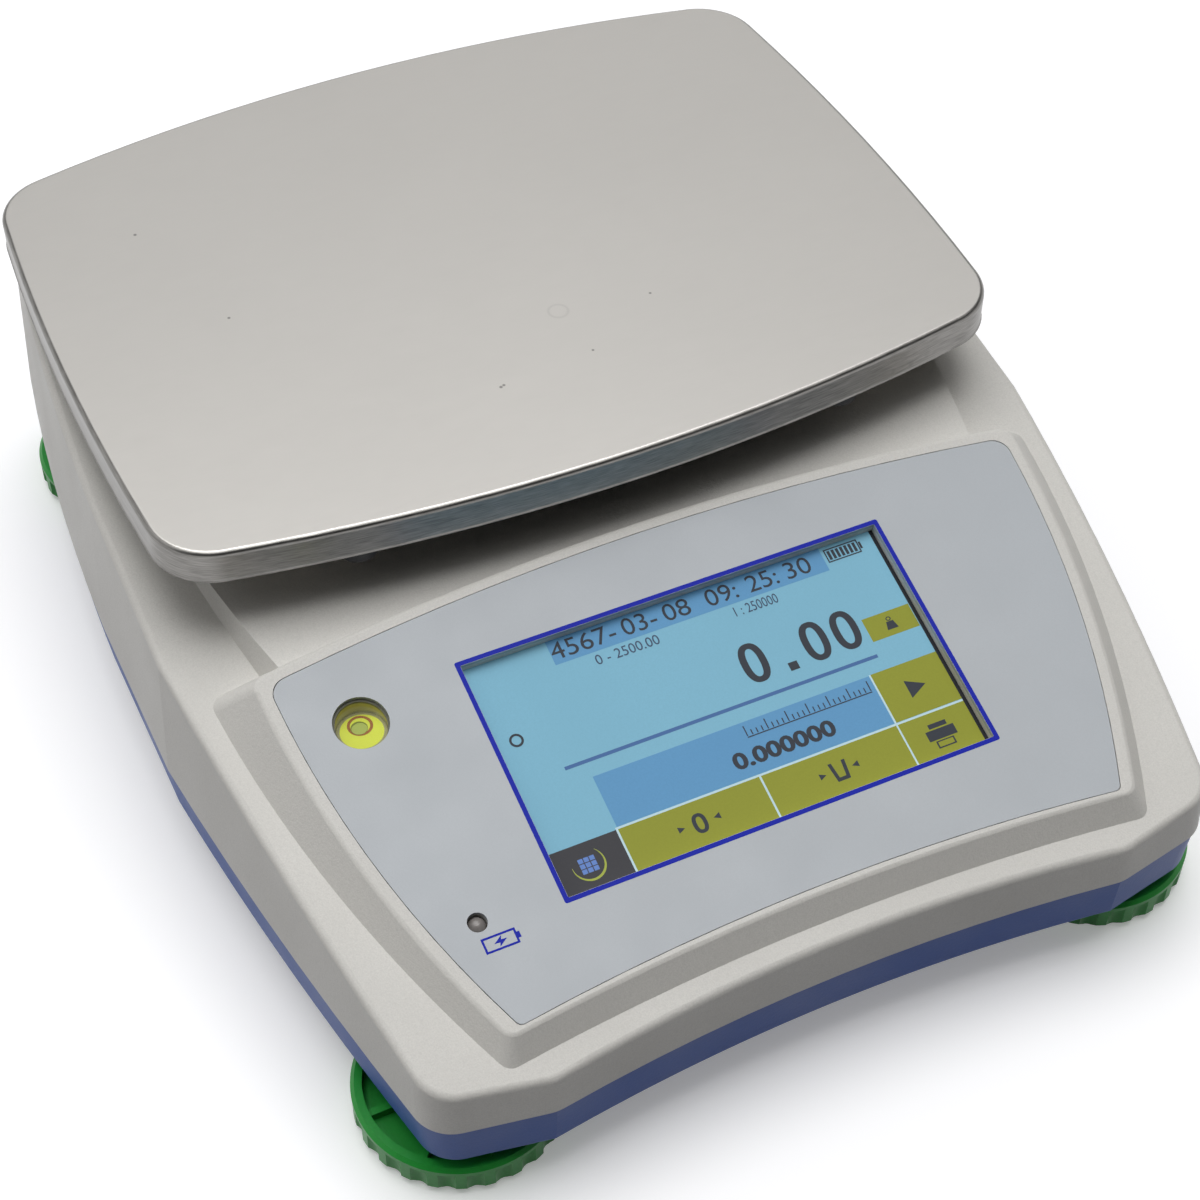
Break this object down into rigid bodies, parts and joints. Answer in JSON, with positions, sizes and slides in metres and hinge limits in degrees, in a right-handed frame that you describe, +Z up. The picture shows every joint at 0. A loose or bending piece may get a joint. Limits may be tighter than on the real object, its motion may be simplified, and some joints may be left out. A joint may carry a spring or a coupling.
{
  "type": "precision balance",
  "caption": "Bench balance: moulded housing with a sloping touch-screen console, level vial, rectangular steel pan on a load cell and levelling thumbwheel feet.",
  "frame": {"origin": "on the bench, under the middle of the bounding box, with the feet screwed in", "axes": "+X to the right of someone facing the display, +Y to the back, +Z up; the display faces -Y and up"},
  "size_m": [0.2104, 0.2566, 0.0827],
  "materials": {
    "housing_plastic": "fine moulded texture, warm light grey",
    "tray_plastic": "fine moulded texture, slate blue",
    "panel_film": "satin printed film, grey-blue",
    "touch_glass": "clear, slightly glossy",
    "display": "lit display, light blue",
    "black_plastic": "moulded, black",
    "circuit_board": "green board with black parts",
    "vial_plastic": "clear moulded plastic over a pale base",
    "vial_fluid": "yellow-green liquid",
    "vial_glass": "clear",
    "lamp_plastic": "clear dome, unlit",
    "pan_steel": "fine brushed stainless steel",
    "cast_alloy": "cast, lightly blasted",
    "black_rubber": "matt",
    "cell_alloy": "machined, anodised",
    "chassis_steel": "zinc-plated sheet",
    "zinc_steel": "zinc-plated",
    "battery_wrap": "shrink wrap, blue",
    "connector_black": "moulded, black",
    "connector_metal": "nickel-plated shell",
    "insert_brass": "machined",
    "wheel_plastic": "moulded, green",
    "rocker_black": "moulded, black"
  },
  "bodies": {
    "housing": {"upper_housing": "housing_plastic", "lower_tray": "tray_plastic", "front_panel": "panel_film", "touch_screen": "touch_glass", "lcd_module": "display", "display_frame": "black_plastic", "display_board": "circuit_board", "vial_cup": "vial_plastic", "vial_liquid": "vial_fluid", "vial_lens": "vial_glass", "charge_lamp": "lamp_plastic", "pan_support": "cast_alloy", "pan_support_cushions": "black_rubber", "load_cell": "cell_alloy", "load_cell_spacer": "cell_alloy", "chassis_plate": "chassis_steel", "overload_stop": "zinc_steel", "main_board": "circuit_board", "battery_pack": "battery_wrap", "battery_door": "tray_plastic", "dc_jack": "connector_black", "serial_port": "connector_metal", "power_switch": "connector_black", "foot_inserts": "insert_brass", "housing_screws": "zinc_steel", "display_screws": "zinc_steel", "chassis_screws": "zinc_steel", "main_board_screws": "zinc_steel", "battery_door_screws": "zinc_steel", "load_cell_screws": "zinc_steel", "support_screws": "zinc_steel"},
    "pan": {"weighing_pan": "pan_steel"},
    "rocker": {"power_rocker": "rocker_black"},
    "front_left_foot_pad": {"front_left_pad": "black_rubber"},
    "front_left_foot_wheel": {"front_left_wheel": "wheel_plastic", "front_left_stud": "zinc_steel"},
    "front_right_foot_pad": {"front_right_pad": "black_rubber"},
    "front_right_foot_wheel": {"front_right_wheel": "wheel_plastic", "front_right_stud": "zinc_steel"},
    "rear_left_foot_pad": {"rear_left_pad": "black_rubber"},
    "rear_left_foot_wheel": {"rear_left_wheel": "wheel_plastic", "rear_left_stud": "zinc_steel"},
    "rear_right_foot_pad": {"rear_right_pad": "black_rubber"},
    "rear_right_foot_wheel": {"rear_right_wheel": "wheel_plastic", "rear_right_stud": "zinc_steel"}
  },
  "joints": [
    {"name": "pan_lift", "type": "slide", "parent": "housing", "child": "pan", "axis": [0, 0, 1], "range_m": [0, 0.06]},
    {"name": "power_rocker_tip", "type": "hinge", "parent": "housing", "child": "rocker", "pos_m": [0.05, 0.12205, 0.0395], "axis": [0, 0, -1], "range_deg": [0, 16]},
    {"name": "front_left_foot_extend", "type": "slide", "parent": "housing", "child": "front_left_foot_pad", "axis": [0, 0, -1], "range_m": [0, 0.006]},
    {"name": "front_left_wheel_turn", "type": "hinge", "parent": "front_left_foot_pad", "child": "front_left_foot_wheel", "pos_m": [-0.0748, -0.1032, 0.0067], "axis": [0, 0, -1], "range_deg": [0, 1728]},
    {"name": "front_right_foot_extend", "type": "slide", "parent": "housing", "child": "front_right_foot_pad", "axis": [0, 0, -1], "range_m": [0, 0.006]},
    {"name": "front_right_wheel_turn", "type": "hinge", "parent": "front_right_foot_pad", "child": "front_right_foot_wheel", "pos_m": [0.0748, -0.1032, 0.0067], "axis": [0, 0, -1], "range_deg": [0, 1728]},
    {"name": "rear_left_foot_extend", "type": "slide", "parent": "housing", "child": "rear_left_foot_pad", "axis": [0, 0, -1], "range_m": [0, 0.006]},
    {"name": "rear_left_wheel_turn", "type": "hinge", "parent": "rear_left_foot_pad", "child": "rear_left_foot_wheel", "pos_m": [-0.078, 0.1043, 0.0067], "axis": [0, 0, -1], "range_deg": [0, 1728]},
    {"name": "rear_right_foot_extend", "type": "slide", "parent": "housing", "child": "rear_right_foot_pad", "axis": [0, 0, -1], "range_m": [0, 0.006]},
    {"name": "rear_right_wheel_turn", "type": "hinge", "parent": "rear_right_foot_pad", "child": "rear_right_foot_wheel", "pos_m": [0.078, 0.1043, 0.0067], "axis": [0, 0, -1], "range_deg": [0, 1728]}
  ],
  "couplings": [
    {"joint": "front_left_foot_extend", "follows": "front_left_wheel_turn", "m_per_rad": 0.00019892},
    {"joint": "front_right_foot_extend", "follows": "front_right_wheel_turn", "m_per_rad": 0.00019892},
    {"joint": "rear_left_foot_extend", "follows": "rear_left_wheel_turn", "m_per_rad": 0.00019892},
    {"joint": "rear_right_foot_extend", "follows": "rear_right_wheel_turn", "m_per_rad": 0.00019892}
  ]
}
